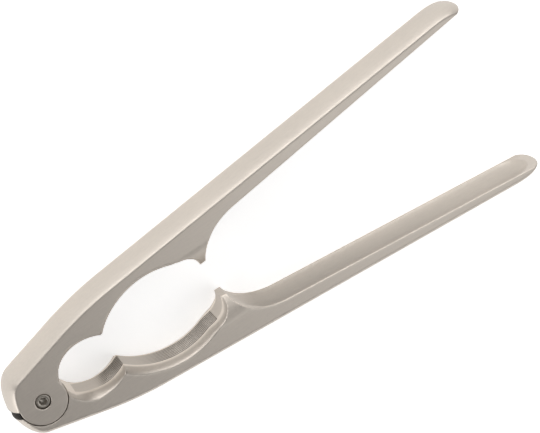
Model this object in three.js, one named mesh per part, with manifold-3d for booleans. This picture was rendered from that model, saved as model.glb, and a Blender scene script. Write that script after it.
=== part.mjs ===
// Two-lever nutcracker: two cast arms that are one shape, turned half a turn about the tool's
// long axis, on a half-lap pivot. It lies on its side: X runs from the pivot to the handles
// along the middle of the opening, Z is the pivot axis, and Z = 0 is the lower side face.
// Each arm has a crowned back, a small and a large nut hollow with plain faces (the real ones
// are ribbed), a lip that closes the large hollow, and a handle scooped on its inner face.
import * as THREE from 'three';
import { mergeVertices } from 'three/addons/utils/BufferGeometryUtils.js';
import Module from 'manifold-3d';

const wasm = await Module();
wasm.setup();

// Driving dimensions, in millimetres and degrees.
const THICKNESS = 16.5; // between the two side faces
const MIDDLE = THICKNESS / 2;
const CLEAR = 5; // how far cutting shapes run past the faces they cut

const CROWN_HEIGHT = 2.8; // how far the back stands out beyond the edges of the side faces
const CROWN_HALF_WIDTH = 9.2; // half axis of the crown's ellipse, across the tool
const CROWN_HALF_HEIGHT = 5;
const CROWN_STEPS = 7;

const LUG_RADIUS = 8.45; // the disc of one arm that lies in the other arm
const LUG_SEAT_RADIUS = 8.75;
const LAP_GAP = 1.1; // between the two lugs, for the washer
const NOTCH_HALF_ANGLE = 7.5; // each arm's stop face, off the tool's middle line
const NECK_START = new THREE.Vector2(7.3, 0.4); // neck face, from inside the lug to the small hollow
const NECK_END = new THREE.Vector2(10.45, 5.8);

const HEAD_HOLE_RADIUS = 2.75;
const HEAD_HOLE_DEPTH = 3;
const SHANK_HOLE_RADIUS = 2.1;

const LIP_X = 68.8; // inner edge of the lip's flat tip
const LIP_WIDTH = 2.3;
const LIP_ANGLE = 5.8; // of the tip's flat, which points at the pivot
const LIP_TAPER_DEPTH = 4.5; // taken off each side face at the tip
const LIP_TAPER_HEIGHT = 7.5;
const LIP_TAPER_TURN = 15.6;

const SMALL_RADIUS = 9.9; // bevel of the small hollow, at the side face
const SMALL_BEVEL = 2.6;
const LARGE_RADIUS = 28.1; // the large hollow
const LARGE_BEVEL = 1.3;
const BEVEL_DEPTH = 3.8; // of both bevels, from the side face

const RIM_START = new THREE.Vector2(88.5, 20.06); // where the handle's straight inner rim starts
const RIM_SLOPE = 0.125;
const TIP_X = 188.3; // end of the side faces; the crown stands out beyond it
const SCOOP_END_X = 185;
const SCOOP_DEPTH = 2;
const SCOOP_RIM = 1.1; // width of the rim on each side of the scoop
const SCOOP_HALF_WIDTH = 7.6; // half axis of the scoop's ellipse
const SCOOP_HALF_HEIGHT = 2.6;
const SCOOP_STEPS = 5;

const HEAD_RADIUS = 2.55; // screw head and barrel nut head
const SCREW_SUNK = 0.35; // screw head below the side face
const SOCKET_FLATS = 2.5;
const SOCKET_DEPTH = 1.4;
const SCREW_SHANK_RADIUS = 1.35;
const SCREW_END = 5.5;
const BARREL_RADIUS = 2;
const BARREL_BORE_RADIUS = 1.65;
const BARREL_BORE_FLOOR = 4;
const SEAT_GAP = 0.3; // between a head and the floor of its hole
const WASHER_THICKNESS = 0.5;
const WASHER_RADIUS = 8.1;
const WASHER_HOLE_RADIUS = 2.35;

const ROUND_SEGMENTS = 48;
const SMALL_ROUND_SEGMENTS = 32;
const CURVE_STEPS = 9;

const radians = THREE.MathUtils.degToRad;

// A closed geometry as a solid that can be joined and cut.
function solid(geometry) {
  geometry.deleteAttribute('normal');
  geometry.deleteAttribute('uv');
  const merged = mergeVertices(geometry, 1e-5);
  return new wasm.Manifold(new wasm.Mesh({
    numProp: 3,
    vertProperties: new Float32Array(merged.attributes.position.array),
    triVerts: new Uint32Array(merged.index.array),
  }));
}

function geometryOf(body) {
  const mesh = body.getMesh();
  const geometry = new THREE.BufferGeometry();
  geometry.setAttribute('position', new THREE.BufferAttribute(new Float32Array(mesh.vertProperties), 3));
  geometry.setIndex(new THREE.BufferAttribute(new Uint32Array(mesh.triVerts), 1));
  geometry.computeVertexNormals();
  return geometry;
}

// A straight prism of a shape in XY.
function prism(shape, low, high) {
  const geometry = new THREE.ExtrudeGeometry(shape, {
    depth: high - low,
    bevelEnabled: false,
    curveSegments: CURVE_STEPS,
  });
  return solid(geometry.translate(0, 0, low));
}

// A prism whose walls are crowned by half an ellipse, centred on the tool's middle plane.
// The walls stand `height` out from the shape in the middle plane.
function crownedPrism(shape, halfWidth, halfHeight, height, steps) {
  const core = 0.02;
  const geometry = new THREE.ExtrudeGeometry(shape, {
    depth: core,
    bevelThickness: halfWidth,
    bevelSize: halfHeight,
    bevelOffset: height - halfHeight,
    bevelSegments: steps,
    curveSegments: CURVE_STEPS,
  });
  return solid(geometry.translate(0, 0, MIDDLE - core / 2));
}

// A disc or a cone frustum around an axis parallel to Z.
function round(lowRadius, highRadius, low, high, segments, x = 0, y = 0) {
  const geometry = new THREE.CylinderGeometry(highRadius, lowRadius, high - low, segments);
  geometry.rotateX(Math.PI / 2);
  return solid(geometry.translate(x, y, (low + high) / 2));
}

function slab(low, high) {
  const length = 600;
  return solid(new THREE.BoxGeometry(length, length, high - low).translate(0, 0, (low + high) / 2));
}

// The edge of the side face along the back, closed well inside the tool.
function backOutline() {
  const outline = new THREE.Shape();
  outline.moveTo(-8.6, -2);
  outline.lineTo(-8.5, 1);
  outline.bezierCurveTo(-7.6, 5.5, -6.6, 9.2, -3.3, 10.1);
  outline.lineTo(16.1, 15.6);
  outline.quadraticCurveTo(27, 18.7, 38, 19.77);
  outline.lineTo(177.5, 33.35);
  outline.bezierCurveTo(182.5, 33.85, TIP_X, 34.05, TIP_X, 29.65);
  outline.lineTo(TIP_X, -2);
  return outline;
}

// The curve behind the lip, down to the handle's straight rim.
function lipBack(path) {
  path.bezierCurveTo(72.2, 14.6, 79.5, 19, RIM_START.x, RIM_START.y);
}

// Everything on the inner side of the arm: the notch, both hollows, the lip and the handle's rim.
function innerSpace() {
  const far = 60;
  const lipTip = new THREE.Vector2(LIP_X, LIP_X * Math.tan(radians(LIP_ANGLE)));
  const ridgeAngle = 137;
  const lipRootAngle = 68.5;
  const space = new THREE.Shape();
  space.moveTo(-far, -far);
  space.lineTo(-far, far * Math.tan(radians(NOTCH_HALF_ANGLE)));
  space.lineTo(0, 0);
  space.lineTo(NECK_START.x, NECK_START.y);
  space.lineTo(NECK_END.x, NECK_END.y);
  space.bezierCurveTo(14.2, 9.3, 21.5, 10.7, 28.75, 6.77);
  space.absarc(49.3, -12.4, LARGE_RADIUS, radians(ridgeAngle), radians(lipRootAngle), true);
  space.bezierCurveTo(63.6, 12.6, 67.9, 11.9, lipTip.x, lipTip.y);
  space.lineTo(lipTip.x + LIP_WIDTH, lipTip.y * (1 + LIP_WIDTH / LIP_X));
  lipBack(space);
  space.lineTo(RIM_START.x + 2 * far, RIM_START.y + 2 * far * RIM_SLOPE);
  space.lineTo(RIM_START.x + 2 * far, -far);
  return space;
}

// The scooped inner face of the handle, from behind the lip nearly to the tip.
function scoop() {
  const outline = new THREE.Shape();
  outline.moveTo(75, 14.2);
  outline.quadraticCurveTo(80.2, 19, RIM_START.x, RIM_START.y);
  outline.lineTo(SCOOP_END_X, RIM_START.y + (SCOOP_END_X - RIM_START.x) * RIM_SLOPE);
  outline.lineTo(SCOOP_END_X, 24);
  outline.lineTo(90, 12);
  return crownedPrism(outline, SCOOP_HALF_WIDTH, SCOOP_HALF_HEIGHT, SCOOP_DEPTH, SCOOP_STEPS)
    .intersect(slab(SCOOP_RIM, THICKNESS - SCOOP_RIM));
}

// The bevels of both hollows and the taper of the lip, at the upper (1) or lower (-1) side face.
function sideBevels(side) {
  const face = MIDDLE + side * MIDDLE;
  const cone = (x, y, radius, bevel) => {
    const deep = face - side * BEVEL_DEPTH;
    const out = face + side * CLEAR;
    const deepRadius = radius - bevel;
    const outRadius = radius + (bevel * CLEAR) / BEVEL_DEPTH;
    return side > 0
      ? round(deepRadius, outRadius, deep, out, ROUND_SEGMENTS, x, y)
      : round(outRadius, deepRadius, out, deep, ROUND_SEGMENTS, x, y);
  };
  const taperLength = 30;
  const taper = new THREE.BoxGeometry(taperLength, taperLength, taperLength);
  taper.translate(0, -taperLength / 2, (side * taperLength) / 2);
  taper.rotateX(side * Math.atan(LIP_TAPER_DEPTH / LIP_TAPER_HEIGHT));
  taper.rotateZ(radians(LIP_TAPER_TURN));
  taper.translate(75, 16, face);
  return cone(18.6, 1.6, SMALL_RADIUS, SMALL_BEVEL)
    .add(cone(49, -11.9, LARGE_RADIUS + LARGE_BEVEL, LARGE_BEVEL))
    .add(solid(taper));
}

// The arm on the +Y side. Its lug is the upper half of the pivot.
function arm() {
  const lugFloor = MIDDLE + LAP_GAP / 2;
  const blank = crownedPrism(backOutline(), CROWN_HALF_WIDTH, CROWN_HALF_HEIGHT, CROWN_HEIGHT, CROWN_STEPS);
  return blank
    .intersect(slab(0, THICKNESS))
    .subtract(prism(innerSpace(), -CLEAR, THICKNESS + CLEAR))
    .subtract(scoop())
    .subtract(sideBevels(1))
    .subtract(sideBevels(-1))
    .subtract(round(LUG_SEAT_RADIUS, LUG_SEAT_RADIUS, -CLEAR, lugFloor, ROUND_SEGMENTS))
    .add(round(LUG_RADIUS, LUG_RADIUS, lugFloor, THICKNESS, ROUND_SEGMENTS))
    .subtract(round(SHANK_HOLE_RADIUS, SHANK_HOLE_RADIUS, 0, THICKNESS + CLEAR, SMALL_ROUND_SEGMENTS))
    .subtract(round(
      HEAD_HOLE_RADIUS,
      HEAD_HOLE_RADIUS,
      THICKNESS - HEAD_HOLE_DEPTH,
      THICKNESS + CLEAR,
      SMALL_ROUND_SEGMENTS,
    ));
}

// A solid turned from a closed profile of [radius, height] pairs.
function turned(profile) {
  const points = profile.map(([radius, height]) => new THREE.Vector2(radius, height));
  const geometry = new THREE.LatheGeometry(points, SMALL_ROUND_SEGMENTS);
  geometry.rotateX(Math.PI / 2);
  return solid(geometry);
}

// Screw with a hexagon socket, seen from above.
function pivotScrew() {
  const top = THICKNESS - SCREW_SUNK;
  const headBottom = THICKNESS - HEAD_HOLE_DEPTH + SEAT_GAP;
  const edge = 0.25;
  const socketRadius = SOCKET_FLATS / Math.sqrt(3);
  return turned([
    [0, SCREW_END],
    [SCREW_SHANK_RADIUS, SCREW_END],
    [SCREW_SHANK_RADIUS, headBottom],
    [HEAD_RADIUS, headBottom],
    [HEAD_RADIUS, top - edge],
    [HEAD_RADIUS - edge, top],
    [0, top],
  ]).subtract(round(socketRadius, socketRadius, top - SOCKET_DEPTH, top + CLEAR, 6));
}

// Barrel nut: a plain head flush with the lower side face, and a barrel through both lugs.
function pivotBarrelNut() {
  const headTop = HEAD_HOLE_DEPTH - SEAT_GAP;
  const barrelTop = THICKNESS - HEAD_HOLE_DEPTH - SEAT_GAP;
  return turned([
    [0, 0],
    [HEAD_RADIUS, 0],
    [HEAD_RADIUS, headTop],
    [BARREL_RADIUS, headTop],
    [BARREL_RADIUS, barrelTop],
    [BARREL_BORE_RADIUS, barrelTop],
    [BARREL_BORE_RADIUS, BARREL_BORE_FLOOR],
    [0, BARREL_BORE_FLOOR],
  ]);
}

function pivotWasher() {
  const low = MIDDLE - WASHER_THICKNESS / 2;
  const high = MIDDLE + WASHER_THICKNESS / 2;
  return turned([
    [WASHER_HOLE_RADIUS, low],
    [WASHER_RADIUS, low],
    [WASHER_RADIUS, high],
    [WASHER_HOLE_RADIUS, high],
    [WASHER_HOLE_RADIUS, low],
  ]);
}

const satinMetal = new THREE.MeshStandardMaterial({ color: 0xbab4a9, roughness: 0.42, metalness: 1 });
const screwMetal = new THREE.MeshStandardMaterial({ color: 0x9a958c, roughness: 0.35, metalness: 1 });
const washerPlastic = new THREE.MeshStandardMaterial({ color: 0x2b2a28, roughness: 0.6, metalness: 0 });

function piece(name, geometry, material) {
  const mesh = new THREE.Mesh(geometry, material);
  mesh.name = name;
  return mesh;
}

const nutcracker = new THREE.Group();
const armGeometry = geometryOf(arm());
nutcracker.add(piece('upper_arm', armGeometry, satinMetal.clone()));

const lowerArm = piece('lower_arm', armGeometry.clone(), satinMetal.clone());
lowerArm.rotation.x = Math.PI;
lowerArm.position.z = THICKNESS;
nutcracker.add(lowerArm);

nutcracker.add(piece('pivot_barrel_nut', geometryOf(pivotBarrelNut()), screwMetal.clone()));
nutcracker.add(piece('pivot_screw', geometryOf(pivotScrew()), screwMetal.clone()));
nutcracker.add(piece('pivot_washer', geometryOf(pivotWasher()), washerPlastic));

export default nutcracker;
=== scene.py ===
"""A two-lever nutcracker in satin metal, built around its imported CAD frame.

Run it as a script in Blender. The two arms are skinned from a description of the casting as
distances in millimetres; the pivot's small pieces are lofted from rings.
"""

import math

import bpy
import numpy as np
from mathutils import Matrix, Vector


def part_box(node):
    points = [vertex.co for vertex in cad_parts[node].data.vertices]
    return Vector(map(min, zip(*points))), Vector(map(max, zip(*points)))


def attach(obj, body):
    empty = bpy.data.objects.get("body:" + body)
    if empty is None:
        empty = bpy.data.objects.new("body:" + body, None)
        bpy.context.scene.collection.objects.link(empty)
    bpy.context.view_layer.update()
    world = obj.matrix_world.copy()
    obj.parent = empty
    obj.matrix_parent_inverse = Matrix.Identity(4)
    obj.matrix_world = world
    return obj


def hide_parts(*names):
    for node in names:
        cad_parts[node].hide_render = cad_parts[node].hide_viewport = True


bl_info = {
    "name": "Nutcracker",
    "version": (1, 0, 0),
    "blender": (4, 5, 0),
    "location": "3D View > Sidebar > Nutcracker",
    "description": "Builds a satin metal nutcracker around its CAD frame",
    "category": "Add Mesh",
}

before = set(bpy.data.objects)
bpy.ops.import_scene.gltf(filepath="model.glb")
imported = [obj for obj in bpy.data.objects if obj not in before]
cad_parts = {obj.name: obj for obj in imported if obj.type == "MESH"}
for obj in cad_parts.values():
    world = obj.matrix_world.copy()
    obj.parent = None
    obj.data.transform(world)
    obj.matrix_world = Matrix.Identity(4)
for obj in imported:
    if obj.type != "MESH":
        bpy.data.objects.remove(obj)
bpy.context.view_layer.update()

MM = 0.001
ARM_LOW, ARM_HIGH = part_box("upper_arm")
THICKNESS = (ARM_HIGH.z - ARM_LOW.z) / MM
MIDDLE = THICKNESS / 2
TIP_X = ARM_HIGH.x / MM
PIVOT_X = ARM_LOW.x / MM
BACK_Y = ARM_HIGH.y / MM
LUG_LOW_Y = ARM_LOW.y / MM


# ---------------------------------------------------------------- settings


class ArmSettings(bpy.types.PropertyGroup):
    """Sizes of the two cast arms, in millimetres."""

    crown: bpy.props.FloatProperty(
        name="Crown", description="Height of the rounded back over the side faces' edges", default=2.8, min=0
    )
    edge: bpy.props.FloatProperty(
        name="Edge radius", description="Radius of the cast edges", default=0.3, min=0.05
    )
    rim_edge: bpy.props.FloatProperty(
        name="Rim radius", description="Radius of the handle's rim", default=0.5, min=0.05
    )
    scoop: bpy.props.FloatProperty(
        name="Scoop depth", description="Depth of the hollow in the handle's inner face", default=2.6, min=0
    )
    rim: bpy.props.FloatProperty(
        name="Rim width", description="Flat rim on each side of the scoop", default=0.8, min=0
    )
    bevel_depth: bpy.props.FloatProperty(
        name="Bevel depth", description="Depth of the hollows' bevels from the side face", default=3.8, min=0
    )
    lip_taper: bpy.props.FloatProperty(
        name="Lip taper", description="Metal taken off each side of the lip's tip", default=4.5, min=0
    )
    rib_count: bpy.props.IntProperty(name="Ribs", description="Grooves across each jaw", default=8, min=0)
    rib_depth: bpy.props.FloatProperty(
        name="Rib depth", description="Depth of the jaws' grooves", default=0.5, min=0
    )
    cell: bpy.props.FloatProperty(
        name="Cell", description="Size of the skin's faces where the shape is fine", default=0.38, min=0.1
    )


class PivotSettings(bpy.types.PropertyGroup):
    """Sizes of the pivot, in millimetres."""

    lug_radius: bpy.props.FloatProperty(
        name="Lug", description="Radius of each arm's disc", default=8.45
    )
    seat_radius: bpy.props.FloatProperty(
        name="Seat", description="Radius of the disc's seat", default=8.75
    )
    lap_gap: bpy.props.FloatProperty(
        name="Lap gap", description="Gap between the two lugs", default=1.1
    )
    head_hole: bpy.props.FloatProperty(
        name="Head hole", description="Radius of the head's hole", default=2.75
    )
    head_depth: bpy.props.FloatProperty(
        name="Head depth", description="Depth of the head's hole", default=3.0
    )
    shank_hole: bpy.props.FloatProperty(
        name="Shank hole", description="Radius of the barrel's hole", default=2.1
    )
    socket: bpy.props.FloatProperty(
        name="Socket", description="Width of the hexagon over flats", default=2.5
    )
    socket_depth: bpy.props.FloatProperty(
        name="Socket depth", description="Depth of the hexagon", default=1.4
    )


class FinishSettings(bpy.types.PropertyGroup):
    """Colours of the metals and the plastic."""

    arm_metal: bpy.props.FloatVectorProperty(
        name="Arm metal", description="Warm satin metal", subtype="COLOR", default=(0.57, 0.52, 0.465), max=1
    )
    screw_metal: bpy.props.FloatVectorProperty(
        name="Screw metal", description="Turned steel", subtype="COLOR", default=(0.38, 0.35, 0.31), max=1
    )
    washer_plastic: bpy.props.FloatVectorProperty(
        name="Washer plastic", description="Dark plastic", subtype="COLOR", default=(0.03, 0.03, 0.03), max=1
    )
    arm_roughness: bpy.props.FloatProperty(
        name="Arm roughness", description="Roughness of the satin metal", default=0.5, min=0, max=1
    )


class StageSettings(bpy.types.PropertyGroup):
    """The floor, the light and the camera."""

    floor: bpy.props.FloatVectorProperty(
        name="Floor", description="Colour of the floor", subtype="COLOR", default=(0.93, 0.93, 0.93), max=1
    )
    glow: bpy.props.FloatProperty(name="Glow", description="Light that the floor gives", default=0.55, min=0)
    sky: bpy.props.FloatProperty(name="Sky", description="Strength of the even light", default=0.27, min=0)
    focal: bpy.props.FloatProperty(
        name="Focal length", description="Focal length on a 36 mm wide sensor", default=125.64, min=1
    )


# ---------------------------------------------------------------- shader maths


class Socket:
    """A node socket, or a number, that can be written in arithmetic."""

    def __init__(self, tree, link):
        self.tree = tree
        self.link = link

    def math(self, operation, *others):
        values = {0: self, **dict(enumerate(others, 1))}
        return self.tree.node("ShaderNodeMath", {"operation": operation}, values)

    def __add__(self, other):
        return self.math("ADD", other)

    def __mul__(self, other):
        return self.math("MULTIPLY", other)

    __radd__ = __add__
    __rmul__ = __mul__


class Material:
    """A node material that is written from its shader backwards."""

    def __init__(self, name):
        self.material = bpy.data.materials.new(name)
        self.material.use_nodes = True
        self.nodes = self.material.node_tree.nodes
        self.links = self.material.node_tree.links
        self.shader = self.nodes["Principled BSDF"]

    def node(self, kind, settings, sockets, output=0):
        """Adds one node: its settings first, then its sockets' values or links."""
        node = self.nodes.new(kind)
        for key, value in settings.items():
            setattr(node, key, value)
        for key, value in sockets.items():
            self.feed(node.inputs[key], value)
        return Socket(self, node.outputs[output])

    def feed(self, target, value):
        if isinstance(value, Socket):
            self.links.new(value.link, target)
        elif hasattr(value, "__len__") and len(value) == 3 and target.type == "RGBA":
            target.default_value = (*value, 1)
        else:
            target.default_value = value

    def set(self, **values):
        """Feeds the shader's own sockets; an underscore in a name stands for a space."""
        for name, value in values.items():
            self.feed(self.shader.inputs[name.replace("_", " ")], value)

    def place(self, scale=(1, 1, 1), turn=0.0):
        """The point on the piece, stretched and turned about Z."""
        point = self.node("ShaderNodeTexCoord", {}, {}, "Object")
        sockets = {"Vector": point, "Rotation": (0, 0, turn), "Scale": scale}
        return self.node("ShaderNodeMapping", {"vector_type": "POINT"}, sockets)

    def noise(self, place, scale, detail=3.0, roughness=0.5):
        sockets = {"Vector": place, "Scale": scale, "Detail": detail, "Roughness": roughness}
        return self.node("ShaderNodeTexNoise", {}, sockets)

    def mix(self, factor, first, second):
        """A colour between two colours."""
        return self.node("ShaderNodeMix", {"data_type": "RGBA"}, {0: factor, 6: first, 7: second}, 2)

    def bump(self, height, strength, distance):
        sockets = {"Height": height, "Strength": strength, "Distance": distance}
        return self.node("ShaderNodeBump", {}, sockets)


def shade(colour, factor):
    return tuple(min(1.0, channel * factor) for channel in colour)


# ---------------------------------------------------------------- outlines of an arm, in millimetres


def line(*points):
    return np.array(points, float)


def arc(centre, radius, start, end, steps):
    angles = np.radians(np.linspace(start, end, steps))
    return np.c_[centre[0] + radius * np.cos(angles), centre[1] + radius * np.sin(angles)]


def bezier(start, first, second, end, steps):
    t = np.linspace(0, 1, steps)[:, None]
    corners = [np.array(point, float) for point in (start, first, second, end)]
    weights = [(1 - t) ** 3, 3 * t * (1 - t) ** 2, 3 * t**2 * (1 - t), t**3]
    return sum(weight * corner for weight, corner in zip(weights, corners))


def joined(*stretches):
    return np.vstack(stretches)


RIM_START = (88.5, 20.06)  # where the handle's inner rim turns straight
RIM_SLOPE = 0.125
RIDGE = (28.75, 6.77)  # between the small hollow and the large one
LIP_INNER = (68.8, 6.99)
LIP_OUTER = (71.1, 7.22)
CROWN_PAST_TIP = 2  # how far the crown stands out beyond the side face at the tip
SIDE_TIP_X = TIP_X - CROWN_PAST_TIP
NOTCH_HALF_ANGLE = 7.5
LARGE_CENTRE = (49.3, -12.4)
LARGE_RADIUS = 28.1
FAR = 60.0  # outside the arm on every side


def back_outline():
    """The edge of the side face along the back, closed inside the arm."""
    return joined(
        line((-8.6, -2), (-8.5, 1)),
        bezier((-8.5, 1), (-7.6, 5.5), (-6.6, 9.2), (-3.3, 10.1), 24),
        bezier((16.1, 15.6), (23.4, 17.67), (30.7, 19.06), (38, 19.77), 24),
        bezier((177.5, 33.35), (182.5, 33.85), (SIDE_TIP_X, 34.05), (SIDE_TIP_X, 29.65), 24),
        line((SIDE_TIP_X, -2)),
    )


def jaw_outline():
    """The space inside the arm: notch, neck face, both hollows, lip and handle rim."""
    far_x = RIM_START[0] + 2 * FAR
    return joined(
        line((-FAR, -FAR), (-FAR, FAR * math.tan(math.radians(NOTCH_HALF_ANGLE))), (0, 0), (7.3, 0.4)),
        bezier((10.45, 5.8), (14, 8.5), (21.5, 11.2), RIDGE, 40),
        arc(LARGE_CENTRE, LARGE_RADIUS, 137, 68.5, 70),
        bezier((59.6, 13.75), (64.6, 12.9), (67.9, 12.4), LIP_INNER, 30),
        bezier(LIP_OUTER, (72.2, 14.6), (79.5, 19), RIM_START, 40),
        line((far_x, RIM_START[1] + 2 * FAR * RIM_SLOPE), (far_x, -FAR)),
    )


def bevel_outline():
    """Where the hollows' bevels reach the side face, with the space inside the arm."""
    return joined(
        line((-FAR, -FAR), (-4, -3), (8.35, 1.0)),
        bezier((8.6, 2.5), (8.9, 6.4), (12.4, 11.4), (18.4, 11.5), 30),
        bezier((18.4, 11.5), (22.8, 11.6), (25.8, 9.9), (27.8, 8.45), 20),
        arc((49, -11.7), 29.7, 136.6, 62, 70),
        bezier((62.9, 14.5), (66, 13.9), (68.3, 12.5), (69, 7), 20),
        line((69, -FAR)),
    )


class Outline:
    """Signed distance to a closed outline, tabled once and read back smoothly. Negative inside."""

    step = 0.3
    margin = 3
    shortest = 1e-12

    def __init__(self, points):
        self.low = np.array([PIVOT_X - self.margin, LUG_LOW_Y - self.margin])
        high = np.array([TIP_X + self.margin, BACK_Y + self.margin])
        count = np.ceil((high - self.low) / self.step).astype(int) + 1
        x = self.low[0] + self.step * np.arange(count[0])[:, None]
        y = self.low[1] + self.step * np.arange(count[1])[None, :]
        nearest = np.full(count, np.inf)
        inside = np.zeros(count, bool)
        for (ax, ay), (bx, by) in zip(points, np.roll(points, -1, 0)):
            ex, ey = bx - ax, by - ay
            length = ex * ex + ey * ey
            if length < self.shortest:
                continue
            along = np.clip(((x - ax) * ex + (y - ay) * ey) / length, 0, 1)
            nearest = np.minimum(nearest, (x - ax - ex * along) ** 2 + (y - ay - ey * along) ** 2)
            if ay != by:
                inside ^= ((ay > y) != (by > y)) & (x < ex * (y - ay) / ey + ax)
        self.table = np.sqrt(nearest) * np.where(inside, -1, 1)

    def __call__(self, x, y):
        x, y = np.broadcast_arrays(x, y)
        places = []
        weights = []
        for value, low, size in zip((x, y), self.low, self.table.shape):
            cell = (value - low) / self.step
            first = np.clip(np.floor(cell).astype(int), 1, size - 3)
            t = cell - first
            places.append(first)
            weights.append((
                ((2 - t) * t - 1) * t / 2,
                ((3 * t - 5) * t * t + 2) / 2,
                ((4 - 3 * t) * t + 1) * t / 2,
                (t - 1) * t * t / 2,
            ))
        total = 0
        for i in range(4):
            for j in range(4):
                entry = self.table[places[0] + i - 1, places[1] + j - 1]
                total = total + weights[0][i] * weights[1][j] * entry
        return total


# ---------------------------------------------------------------- the casting as distances


def rounded_max(first, second, radius):
    """The metal inside both solids, with its edge rounded."""
    corner = np.hypot(np.maximum(first + radius, 0), np.maximum(second + radius, 0))
    return np.minimum(-radius, np.maximum(first, second)) + corner


def ease(value, low, high):
    """0 below low, 1 above high, smooth between."""
    t = np.clip((value - low) / (high - low), 0, 1)
    return t * t * (3 - 2 * t)


def near(distance, full, gone):
    """1 within `full` of a surface, 0 beyond `gone`."""
    return 1 - ease(np.abs(distance), full, gone)


class Arm:
    """The arm on the +Y side as a signed distance: negative in metal.

    A pair of numbers is a stretch along X over which something starts or ends.
    """

    crown_half_width = 9.2
    crown_half_height = 5.0
    steepest_crown = 0.95
    least_bevel = 1.0

    scoop_start = (70.6, 82)
    scoop_end_radius = 8.0
    scoop_end_rim = 1.4
    scoop_shape = 0.85
    scoop_narrow = (3.3, 0.55, 71.5)  # half width at first, its growth along X, and from where

    small_ribs = (16.5, 25)
    large_ribs = (32, 54)
    large_ribs_end = (63.5, 64.1)
    faintest_rib = 0.15
    neck = ((7.8, 8.2), (10.3, 10.6))

    taper_top = 15.4
    taper_height = 8.3
    taper_shape = 1.6
    taper_start = (58, 66)
    bevel_to_lip = (66, 69)
    bevel_start = (7.4, 8.4)
    bevel_end = (69.3, 70.3)
    bevel_shape = (1.45, 0.6)  # its least curve, and what both hollows' middles add
    small_bevel = ((15, 21), (24, 28))
    large_bevel = (29, 40)

    def __init__(self, arm, pivot):
        self.arm = arm
        self.pivot = pivot
        self.back = Outline(back_outline())
        self.jaw = Outline(jaw_outline())
        self.bevel = Outline(bevel_outline())

    def flat(self, x, y):
        """The distances that don't depend on height."""
        return self.back(x, y), self.jaw(x, y), self.bevel(x, y)

    def crowned_back(self, back, off_middle):
        across = np.minimum(off_middle / self.crown_half_width, self.steepest_crown)
        rise = np.sqrt(1 - across**2)
        height = self.crown_half_height * (rise - 1) + self.arm.crown
        slope = self.crown_half_height / self.crown_half_width * across / rise
        return (back - height) / np.sqrt(1 + slope**2)

    def scoop(self, x, off_middle):
        """Depth of the handle's hollow under its rim."""
        arm = self.arm
        narrow, growth, grows_from = self.scoop_narrow
        half_width = np.minimum(MIDDLE - arm.rim, narrow + growth * np.maximum(x - grows_from, 0))
        end_x = SIDE_TIP_X - self.scoop_end_rim - self.scoop_end_radius
        end = np.maximum(x - end_x, 0) / self.scoop_end_radius
        inside = np.maximum(1 - (off_middle / half_width) ** 2 - end**2, 0)
        return arm.scoop * ease(x, *self.scoop_start) * inside**self.scoop_shape

    def ribs(self, x, off_middle):
        """Depth of the grooves that run along both jaws."""
        arm = self.arm
        half_width = MIDDLE - arm.bevel_depth
        pitch = 2 * half_width / arm.rib_count
        small = ease(x, *self.small_ribs)
        large = self.faintest_rib + (1 - self.faintest_rib) * ease(x, *self.large_ribs)
        large = large * (1 - ease(x, *self.large_ribs_end))
        grooved = np.where(x < RIDGE[0], small, large) * (off_middle < half_width)
        return arm.rib_depth * grooved * (0.5 - 0.5 * np.cos(2 * math.pi * off_middle / pitch))

    def painted_light(self, points):
        """Painted light on each point of the skin: painted shade in the grooves, the notch and the scoop (to
        -1), painted highlight on the jaws' creases and the neck face (to 1).
        """
        x, y, z = points.T
        off_middle = np.abs(z - MIDDLE)
        back, jaw, bevel = self.flat(x, y)
        groove = self.ribs(x, off_middle)
        on_jaw = near(jaw, self.arm.rib_depth, self.arm.rib_depth + 0.3)
        side = self.side(x, y, jaw, bevel, off_middle)
        # painted highlight along the crease where the side bevel meets the jaw
        painted_crease_highlight = near(side, 0.1, 0.4) * near(jaw - groove, 0.1, 0.45)
        painted_crease_highlight *= x > self.pivot.seat_radius + self.arm.edge
        neck_start, neck_end = self.neck
        # painted highlight on the neck face
        painted_neck_highlight = near(jaw, 0.1, 0.3) * ease(x, *neck_start) * (1 - ease(x, *neck_end))
        off_lug = np.hypot(x, y) > self.pivot.lug_radius + 0.2
        # painted shade on the faces of the notch between the arms
        painted_notch_shade = near(jaw, 0.1, 0.4) * (x < 0) * off_lug
        hollow = self.scoop(x, off_middle)
        # painted shade in the scoop, darker near the lip and lighter toward the tip
        painted_scoop_shade = near(jaw - hollow, 0.2, 0.5) * hollow / self.arm.scoop
        painted_scoop_shade *= 0.2 - 0.12 * ease(x, 90, 180)
        # painted shade in the jaws' grooves, darker where they are deeper
        painted_groove_shade = on_jaw * groove / self.arm.rib_depth
        return np.maximum(painted_crease_highlight, painted_neck_highlight) - painted_groove_shade - painted_notch_shade - painted_scoop_shade

    def side(self, x, y, jaw, bevel, off_middle):
        """The side faces, with the slopes down to the jaws and the lip."""
        arm = self.arm
        toward_tip = np.clip((self.taper_top - y) / self.taper_height, 0, 1)
        taper = arm.lip_taper * toward_tip**self.taper_shape * ease(x, *self.taper_start)
        depth = arm.bevel_depth + (arm.lip_taper - arm.bevel_depth) * ease(x, *self.bevel_to_lip)
        small_start, small_end = self.small_bevel
        in_small = ease(x, *small_start) * (1 - ease(x, *small_end))
        least, more = self.bevel_shape
        fade = least + more * (in_small + ease(x, *self.large_bevel))
        above_jaw = np.maximum(jaw, 0)
        width = np.maximum(np.maximum(-bevel, 0) + above_jaw, self.least_bevel)
        share = np.maximum(1 - above_jaw / width, 0) * ease(x, *self.bevel_start)
        share = share * (1 - ease(x, *self.bevel_end))
        rest = np.maximum(depth - taper, 0)
        level = MIDDLE - taper - rest * share**fade
        steep = np.where(share > 0, rest / width, 0)
        return (off_middle - level) / np.sqrt(1 + steep**2)

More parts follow.
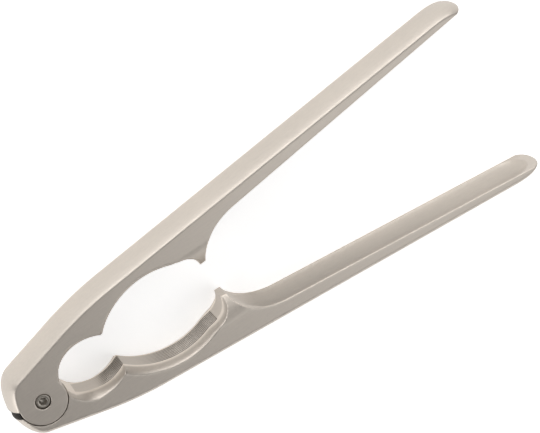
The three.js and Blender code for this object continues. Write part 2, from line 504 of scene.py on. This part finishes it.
    def __call__(self, x, y, z, flat=None):
        pivot = self.pivot
        edge = self.arm.edge
        back, jaw, bevel = self.flat(x, y) if flat is None else flat
        off_middle = np.abs(z - MIDDLE)
        side = self.side(x, y, jaw, bevel, off_middle)
        body = rounded_max(self.crowned_back(back, off_middle), side, edge)
        hollow = self.scoop(x, off_middle) + self.ribs(x, off_middle) - jaw
        body = rounded_max(body, hollow, edge + (self.arm.rim_edge - edge) * ease(x, 72, 80))

        from_axis = np.hypot(x, y)
        lug_floor = MIDDLE + pivot.lap_gap / 2
        seat = np.maximum(from_axis - pivot.seat_radius, z - lug_floor)
        body = rounded_max(body, -seat, edge * 0.7)
        lug = rounded_max(from_axis - pivot.lug_radius, z - THICKNESS, edge)
        body = np.minimum(body, np.maximum(lug, lug_floor - z))
        head_hole = np.maximum(from_axis - pivot.head_hole, THICKNESS - pivot.head_depth - z)
        body = rounded_max(body, -head_hole, edge * 0.7)
        return np.maximum(body, pivot.shank_hole - from_axis)


# ---------------------------------------------------------------- skinning a solid


def stretches(*spans):
    """Grid lines from (start, end, spacing) spans that follow each other."""
    lines = [np.array([spans[0][0]])]
    for start, end, spacing in spans:
        count = max(1, round((end - start) / spacing))
        lines.append(np.linspace(start, end, count + 1)[1:])
    return np.concatenate(lines)


def gradient(solid, points, reach):
    """Direction out of the metal at each point."""
    steps = np.eye(3) * reach
    sides = [solid(*(points + step).T) - solid(*(points - step).T) for step in steps]
    return np.stack(sides, 1) / (2 * reach)


class Skin:
    """A closed mesh of the zero surface of a solid, on a grid, that keeps edges sharp."""

    slope_reach = 0.02
    normal_reach = 0.16
    hold = 0.03  # how strongly a corner is held at the mean of its crossings
    longest_step = 0.15

    def __init__(self, solid, xs, ys, zs):
        self.solid = solid
        self.lines = (xs, ys, zs)
        flat = solid.flat(xs[:, None], ys[None, :])
        flat = tuple(distance[:, :, None] for distance in flat)
        self.values = solid(xs[:, None, None], ys[None, :, None], zs[None, None, :], flat)
        self.cells = [len(grid) - 1 for grid in self.lines]
        self.make()

    def crossings(self, axis):
        """Where grid lines along one axis cross the surface: their index, point and direction."""
        low = np.moveaxis(self.values, axis, 0)[:-1]
        high = np.moveaxis(self.values, axis, 0)[1:]
        at = np.argwhere((low < 0) != (high < 0))
        inner = low[tuple(at.T)]
        outer = high[tuple(at.T)]
        index = np.insert(at[:, 1:], axis, at[:, 0], axis=1)
        start = np.stack([self.lines[k][index[:, k]] for k in range(3)], 1)
        length = self.lines[axis][index[:, axis] + 1] - start[:, axis]
        t0, t1 = np.zeros(len(at)), np.ones(len(at))
        for _ in range(3):
            t = t0 + (t1 - t0) * np.clip(inner / (inner - outer), 0.05, 0.95)
            point = start.copy()
            point[:, axis] += t * length
            value = self.solid(*point.T)
            same = (value < 0) == (inner < 0)
            t0, inner = np.where(same, t, t0), np.where(same, value, inner)
            t1, outer = np.where(same, t1, t), np.where(same, outer, value)
        point[:, axis] = start[:, axis] + length * (t0 + (t1 - t0) * inner / (inner - outer))
        return index, point, low[tuple(at.T)] < 0

    def ring(self, index, axis):
        """The four cells round each crossing, counter-clockwise about the axis."""
        second, third = (axis + 1) % 3, (axis + 2) % 3
        cells = []
        for back_second, back_third in ((1, 1), (0, 1), (0, 0), (1, 0)):
            cell = index.copy()
            cell[:, second] -= back_second
            cell[:, third] -= back_third
            cells.append((cell[:, 0] * self.cells[1] + cell[:, 1]) * self.cells[2] + cell[:, 2])
        return np.stack(cells, 1)

    def make(self):
        rings, points = [], []
        for axis in range(3):
            index, point, starts_inside = self.crossings(axis)
            ring = self.ring(index, axis)
            rings.append(np.where(starts_inside[:, None], ring, ring[:, ::-1]))
            points.append(point)
        rings = np.vstack(rings)
        points = np.vstack(points)
        outward = gradient(self.solid, points, self.slope_reach)
        outward /= np.maximum(np.linalg.norm(outward, axis=1, keepdims=True), 1e-9)
        cells, corners = np.unique(rings, return_inverse=True)
        corners = corners.reshape(rings.shape)
        self.faces = corners
        self.corners = self.corner_points(cells, corners, points, outward)
        self.settle()

    def corner_points(self, cells, corners, points, outward):
        """The point of each cell that fits all its crossings' planes best."""
        owner = corners.ravel()
        count = len(cells)
        points = np.repeat(points, 4, 0)
        outward = np.repeat(outward, 4, 0)
        hits = np.bincount(owner, minlength=count)

        def total(weights):
            return np.bincount(owner, weights, count)

        mean = np.stack([total(points[:, k]) for k in range(3)], 1) / hits[:, None]
        square = np.stack([
            [total(outward[:, i] * outward[:, j]) for i in range(3)] for j in range(3)
        ])
        square = np.moveaxis(square, 2, 0)
        reach = (outward * (points - mean[owner])).sum(1)
        pull = np.stack([total(outward[:, k] * reach) for k in range(3)], 1)
        square += np.eye(3) * (self.hold * hits)[:, None, None]
        corner = mean + np.linalg.solve(square, pull[:, :, None])[:, :, 0]
        place = np.stack(np.unravel_index(cells, self.cells), 1)
        low = np.stack([self.lines[k][place[:, k]] for k in range(3)], 1)
        high = np.stack([self.lines[k][place[:, k] + 1] for k in range(3)], 1)
        return np.clip(corner, low, high)

    def settle(self):
        """Moves each corner onto the surface, within the CAD arm's box, and takes its normal."""
        for _ in range(2):
            slope = gradient(self.solid, self.corners, self.slope_reach)
            value = self.solid(*self.corners.T)
            step = value / np.maximum((slope**2).sum(1), 0.2)
            step = np.clip(step, -self.longest_step, self.longest_step)
            self.corners -= step[:, None] * slope
        self.corners = np.minimum(self.corners, (TIP_X, BACK_Y, THICKNESS))
        self.corners[:, 2] = np.maximum(self.corners[:, 2], 0)
        normals = gradient(self.solid, self.corners, self.normal_reach)
        self.normals = normals / np.maximum(np.linalg.norm(normals, axis=1, keepdims=True), 1e-9)


# ---------------------------------------------------------------- meshes


def make_piece(name, points, faces, material, body, node, normals=None, painted_light=None):
    """A mesh object from millimetre points that stands for a CAD node and rides on its body."""
    mesh = bpy.data.meshes.new(name)
    mesh.from_pydata((np.asarray(points) * MM).tolist(), [], [list(face) for face in faces])
    mesh.validate()
    mesh.update()
    mesh.polygons.foreach_set("use_smooth", [True] * len(mesh.polygons))
    if normals is not None:
        mesh.normals_split_custom_set_from_vertices(normals.tolist())
    # painted light and shade on each point, read by the satin metal
    if painted_light is not None:
        mesh.attributes.new("painted_light", "FLOAT", "POINT").data.foreach_set("value", painted_light)
    mesh.materials.append(material)
    piece = bpy.data.objects.new(name, mesh)
    bpy.context.scene.collection.objects.link(piece)
    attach(piece, body)
    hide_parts(node)
    return piece


def ring(radius, z, sides=96):
    angles = np.linspace(0, 2 * math.pi, sides, endpoint=False)
    return np.c_[radius * np.cos(angles), radius * np.sin(angles), np.full(sides, z)]


def hexagon(flats, z, sides=96):
    """A ring on a hexagon, with its points at even angles."""
    angles = np.linspace(0, 2 * math.pi, sides, endpoint=False)
    off_flat = (angles + math.pi / 6) % (math.pi / 3) - math.pi / 6
    radius = flats / 2 / np.cos(off_flat)
    return np.c_[radius * np.cos(angles), radius * np.sin(angles), np.full(sides, z)]


def loft(rings, closed=False):
    """Faces between rings of equal length, with end caps unless the rings close on themselves."""
    sides = len(rings[0])
    points = np.vstack(rings)
    pairs = list(zip(range(len(rings) - 1), range(1, len(rings))))
    if closed:
        pairs.append((len(rings) - 1, 0))
    faces = []
    for low, high in pairs:
        for side in range(sides):
            after = (side + 1) % sides
            below, above = low * sides, high * sides
            faces.append((below + side, below + after, above + after, above + side))
    if not closed:
        faces.append(tuple(range(sides))[::-1])
        faces.append(tuple((len(rings) - 1) * sides + side for side in range(sides)))
    return points, faces


# ---------------------------------------------------------------- materials


GRAIN_TURN = math.radians(7)


def satin_metal(name, colour, roughness, turn):
    """Satin cast metal with a grain along the arm, painted shade in its grooves, notch and scoop, and painted
    highlights on its jaws' creases and neck face.
    """
    metal = Material(name)
    along = metal.place((0.05, 1, 1), turn)
    grain = metal.noise(along, 2600, 2)
    fine_grain = metal.noise(along, 6500, 2)
    cloud = metal.noise(metal.place(), 42, 4)
    speckle = metal.noise(metal.place(), 900, 3, 0.6)
    tone = cloud * 0.3 + grain * 0.4 + speckle * 0.3
    painted_light = metal.node("ShaderNodeAttribute", {"attribute_name": "painted_light"}, {}, "Fac")
    bare = metal.mix(tone, shade(colour, 0.78), shade(colour, 1.22))
    # painted shade: darkens the grooves, the notch and the scoop
    painted_shade = (painted_light * -1.4).math("MAXIMUM", 0.0).math("MINIMUM", 1.0)
    bare_with_painted_shade = metal.mix(painted_shade, bare, shade(colour, 0.08))
    metal.set(
        # painted highlight: brightens the jaws' creases and the neck face
        Base_Color=metal.mix(painted_light.math("MAXIMUM", 0.0) * 0.7, bare_with_painted_shade, shade(colour, 1.6)),
        Metallic=1.0,
        Roughness=grain * 0.16 + cloud * 0.08 + speckle * 0.16 + (roughness - 0.2),
        Normal=metal.bump(grain * 0.5 + fine_grain * 0.3 + speckle * 0.5, 0.3, 0.00006),
    )
    return metal.material


def turned_metal(name, colour):
    """Steel with the fine rings left by a lathe."""
    metal = Material(name)
    rings = metal.node(
        "ShaderNodeTexWave",
        {"wave_type": "RINGS", "rings_direction": "Z"},
        {"Vector": metal.place(), "Scale": 900, "Distortion": 0.4, "Detail": 2},
    )
    stain = metal.noise(metal.place(), 350, 4)
    tone = rings * 0.3 + stain * 0.7
    metal.set(
        Base_Color=metal.mix(tone, shade(colour, 0.8), shade(colour, 1.15)),
        Metallic=1.0,
        Roughness=stain * 0.2 + 0.24,
        Normal=metal.bump(rings * 0.6 + stain * 0.4, 0.25, 0.00004),
    )
    return metal.material


def matte_plastic(name, colour):
    """Dark moulded plastic."""
    plastic = Material(name)
    cloud = plastic.noise(plastic.place(), 120, 4)
    pores = plastic.noise(plastic.place(), 3200, 2)
    plastic.set(
        Base_Color=plastic.mix(cloud, shade(colour, 0.75), shade(colour, 1.5)),
        Roughness=pores * 0.2 + 0.45,
        Normal=plastic.bump(pores, 0.3, 0.00005),
    )
    return plastic.material


def pale_floor(name, colour, glow):
    """A plain matt sheet, lit a little from behind."""
    floor = Material(name)
    cloud = floor.noise(floor.place(), 3, 3)
    floor.set(
        Base_Color=floor.mix(cloud, shade(colour, 0.985), colour),
        Roughness=0.9,
        Emission_Color=(1.0, 1.0, 1.0),
        Emission_Strength=glow,
    )
    return floor.material


# ---------------------------------------------------------------- the pieces, one operator each


class NUTCRACKER_OT_arms(bpy.types.Operator):
    """Skins one arm and turns it over for the other"""

    bl_idname = "nutcracker.arms"
    bl_label = "Arms"

    plain_handle = (92, 178)  # the stretch along X where longer cells are enough
    handle_stretch = 2.4
    past_sides = 0.3

    def execute(self, context):
        scene = context.scene
        arm = scene.nutcracker_arm
        finish = scene.nutcracker_finish
        skin = self.skin(arm, scene.nutcracker_pivot)
        metals = [
            satin_metal("upper_arm_satin", finish.arm_metal, finish.arm_roughness, -GRAIN_TURN),
            satin_metal("lower_arm_satin", finish.arm_metal, finish.arm_roughness, GRAIN_TURN),
        ]
        # painted light and shade on each point of the skin, the same for both arms
        painted_light = skin.solid.painted_light(skin.corners)
        over = (1, -1, -1)
        turned = skin.corners * over
        turned[:, 2] += THICKNESS
        sides = {"upper_arm": (skin.corners, skin.normals), "lower_arm": (turned, skin.normals * over)}
        for metal, (node, (points, normals)) in zip(metals, sides.items()):
            name = node + "_skin"
            make_piece(name, points, skin.faces, metal, node, node, normals, painted_light)
        return {"FINISHED"}

    def skin(self, arm, pivot):
        cell = arm.cell * 1
        long_cell = cell * self.handle_stretch
        rib_pitch = 2 * (MIDDLE - arm.bevel_depth) / max(arm.rib_count, 1)
        rise = rib_pitch / 6
        ribbed = MIDDLE - arm.bevel_depth
        handle_start, handle_end = self.plain_handle
        xs = stretches(
            (PIVOT_X - 1, handle_start, cell),
            (handle_start, handle_end, long_cell),
            (handle_end, TIP_X + 1, cell),
        )
        ys = stretches((LUG_LOW_Y - 1, BACK_Y + 1, cell))
        zs = stretches(
            (-self.past_sides, MIDDLE - ribbed, cell),
            (MIDDLE - ribbed, MIDDLE + ribbed, rise),
            (MIDDLE + ribbed, THICKNESS + self.past_sides, cell),
        )
        return Skin(Arm(arm, pivot), xs, ys, zs)


class NUTCRACKER_OT_pivot(bpy.types.Operator):
    """Makes the screw, its barrel nut and the washer between the lugs"""

    bl_idname = "nutcracker.pivot"
    bl_label = "Pivot"

    def execute(self, context):
        scene = context.scene
        finish = scene.nutcracker_finish
        steel = turned_metal("screw_steel", finish.screw_metal)
        plastic = matte_plastic("washer_plastic", finish.washer_plastic)
        self.screw(scene.nutcracker_pivot, steel)
        self.barrel_nut(steel)
        self.washer(plastic)
        return {"FINISHED"}

    def screw(self, pivot, metal):
        low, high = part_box("pivot_screw")
        radius, top, bottom = high.x / MM, high.z / MM, low.z / MM
        head, shank, crown = 2.35, 1.35, 0.45
        floor = top - pivot.socket_depth
        rings = [ring(shank - 0.25, bottom), ring(shank, bottom + 0.3)]
        rings += [ring(shank, top - head), ring(radius - 0.2, top - head)]
        rings += [ring(radius, top - head + 0.2), ring(radius, top - crown)]
        for turn in np.radians((20, 45, 70, 90)):
            rings.append(ring(radius - crown * (1 - math.cos(turn)), top - crown * (1 - math.sin(turn))))
        rings += [hexagon(pivot.socket + 0.16, top), hexagon(pivot.socket, top - 0.1)]
        rings += [hexagon(pivot.socket, floor), hexagon(0.6, floor - 0.25)]
        points, faces = loft(rings)
        make_piece("pivot_screw_steel", points, faces, metal, "lower_arm", "pivot_screw")

    def barrel_nut(self, metal):
        low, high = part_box("pivot_barrel_nut")
        radius, top, bottom = high.x / MM, high.z / MM, low.z / MM
        barrel, bore, bore_floor = 2.0, 1.65, 4.0
        head, crown, edge = 2.7, 0.4, 0.15
        neck = bottom + head
        rings = [hexagon(0.6, bottom + 0.9), hexagon(1.9, bottom + 0.8), hexagon(2.0, bottom + 0.05)]
        for turn in np.radians((0, 30, 60, 90)):
            rings.append(ring(radius - crown * (1 - math.sin(turn)), bottom + crown * (1 - math.cos(turn))))
        rings += [ring(radius, neck - edge), ring(radius - edge, neck), ring(barrel, neck)]
        rings += [ring(barrel, top - edge), ring(barrel - 0.12, top), ring(bore, top), ring(bore, bore_floor)]
        points, faces = loft(rings)
        name, node = "pivot_barrel_nut_steel", "pivot_barrel_nut"
        make_piece(name, points, faces, metal, "lower_arm", node)

    def washer(self, plastic):
        low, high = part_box("pivot_washer")
        radius, top, bottom = high.x / MM, high.z / MM, low.z / MM
        hole = 2.35
        lip = 0.12
        rings = [ring(hole + lip, bottom), ring(radius - lip, bottom), ring(radius, bottom + lip)]
        rings += [ring(radius, top - lip), ring(radius - lip, top), ring(hole + lip, top)]
        rings += [ring(hole, top - lip), ring(hole, bottom + lip)]
        points, faces = loft(rings, closed=True)
        name, node = "pivot_washer_plastic", "pivot_washer"
        make_piece(name, points, faces, plastic, "lower_arm", node)


# Each softbox: its place, its width and height, in metres, and its power.
SOFTBOXES = {
    "key": ((0.15, 0.9, 0.42), (1.2, 0.4), 5.5),
    "overhead": ((0.24, -0.12, 0.42), (0.3, 0.35), 0.45),
    "left": ((-0.9, -0.1, 0.3), (0.8, 0.5), 4),
    "front": ((0.1, -0.9, 0.2), (1.0, 0.35), 1.5),
}
LIGHT_AIM = (0.09, 0, 0)
CAMERA_PLACE = (0.014112, 0.272548, 0.585795)
CAMERA_RIGHT = (0.8199533, -0.4649054, 0.3339754)
CAMERA_UP = (0.5572982, 0.7815920, -0.2802368)


class NUTCRACKER_OT_stage(bpy.types.Operator):
    """Makes the floor, the soft light and the camera"""

    bl_idname = "nutcracker.stage"
    bl_label = "Stage"

    def execute(self, context):
        stage = context.scene.nutcracker_stage
        self.floor(stage)
        self.lights(context.scene, stage)
        self.camera(context.scene, stage)
        return {"FINISHED"}

    def floor(self, stage):
        half = 3.0
        corners = [(-half, -half, 0), (half, -half, 0), (half, half, 0), (-half, half, 0)]
        mesh = bpy.data.meshes.new("floor")
        mesh.from_pydata(corners, [], [(0, 1, 2, 3)])
        mesh.materials.append(pale_floor("floor_matt", stage.floor, stage.glow))
        floor = bpy.data.objects.new("floor", mesh)
        bpy.context.scene.collection.objects.link(floor)

    def lights(self, scene, stage):
        world = bpy.data.worlds.new("even_light")
        world.use_nodes = True
        background = world.node_tree.nodes["Background"]
        background.inputs["Color"].default_value = (1, 1, 1, 1)
        background.inputs["Strength"].default_value = stage.sky
        scene.world = world
        scene.view_settings.view_transform = "Standard"
        for name, (place, size, power) in SOFTBOXES.items():
            self.softbox(name, place, size, power)

    def softbox(self, name, place, size, power):
        light = bpy.data.lights.new(name, "AREA")
        light.shape = "RECTANGLE"
        light.size, light.size_y = size
        light.energy = power
        lamp = bpy.data.objects.new(name, light)
        lamp.location = place
        aim = Vector(LIGHT_AIM) - lamp.location
        lamp.rotation_euler = aim.to_track_quat("-Z", "Y").to_euler()
        bpy.context.scene.collection.objects.link(lamp)

    def camera(self, scene, stage):
        lens = bpy.data.cameras.new("camera")
        lens.sensor_width = 36
        lens.lens = stage.focal
        camera = bpy.data.objects.new("camera", lens)
        right = Vector(CAMERA_RIGHT)
        up = Vector(CAMERA_UP)
        back = right.cross(up)
        turn = Matrix((right, up, back)).transposed().to_4x4()
        camera.matrix_world = Matrix.Translation(Vector(CAMERA_PLACE)) @ turn
        scene.collection.objects.link(camera)
        scene.camera = camera


# ---------------------------------------------------------------- the panel, and running it all


class NUTCRACKER_PT_panel(bpy.types.Panel):
    """Lists the nutcracker's settings and pieces."""

    bl_label = "Nutcracker"
    bl_idname = "NUTCRACKER_PT_panel"
    bl_space_type = "VIEW_3D"
    bl_region_type = "UI"
    bl_category = "Nutcracker"

    def draw(self, context):
        for operator in OPERATORS:
            self.layout.operator(operator.bl_idname)
        for name in SETTINGS:
            group = getattr(context.scene, name)
            for key in group.bl_rna.properties.keys():
                if key not in ("rna_type", "name"):
                    self.layout.prop(group, key)


OPERATORS = (NUTCRACKER_OT_stage, NUTCRACKER_OT_arms, NUTCRACKER_OT_pivot)
SETTINGS = {
    "nutcracker_arm": ArmSettings,
    "nutcracker_pivot": PivotSettings,
    "nutcracker_finish": FinishSettings,
    "nutcracker_stage": StageSettings,
}


def register():
    for settings in SETTINGS.values():
        bpy.utils.register_class(settings)
    for operator in OPERATORS:
        bpy.utils.register_class(operator)
    bpy.utils.register_class(NUTCRACKER_PT_panel)
    for name, settings in SETTINGS.items():
        setattr(bpy.types.Scene, name, bpy.props.PointerProperty(type=settings))


def unregister():
    for name in SETTINGS:
        delattr(bpy.types.Scene, name)
    bpy.utils.unregister_class(NUTCRACKER_PT_panel)
    for operator in OPERATORS:
        bpy.utils.unregister_class(operator)
    for settings in SETTINGS.values():
        bpy.utils.unregister_class(settings)


def main():
    register()
    bpy.ops.nutcracker.stage()
    bpy.ops.nutcracker.arms()
    bpy.ops.nutcracker.pivot()


if __name__ == "__main__":
    main()
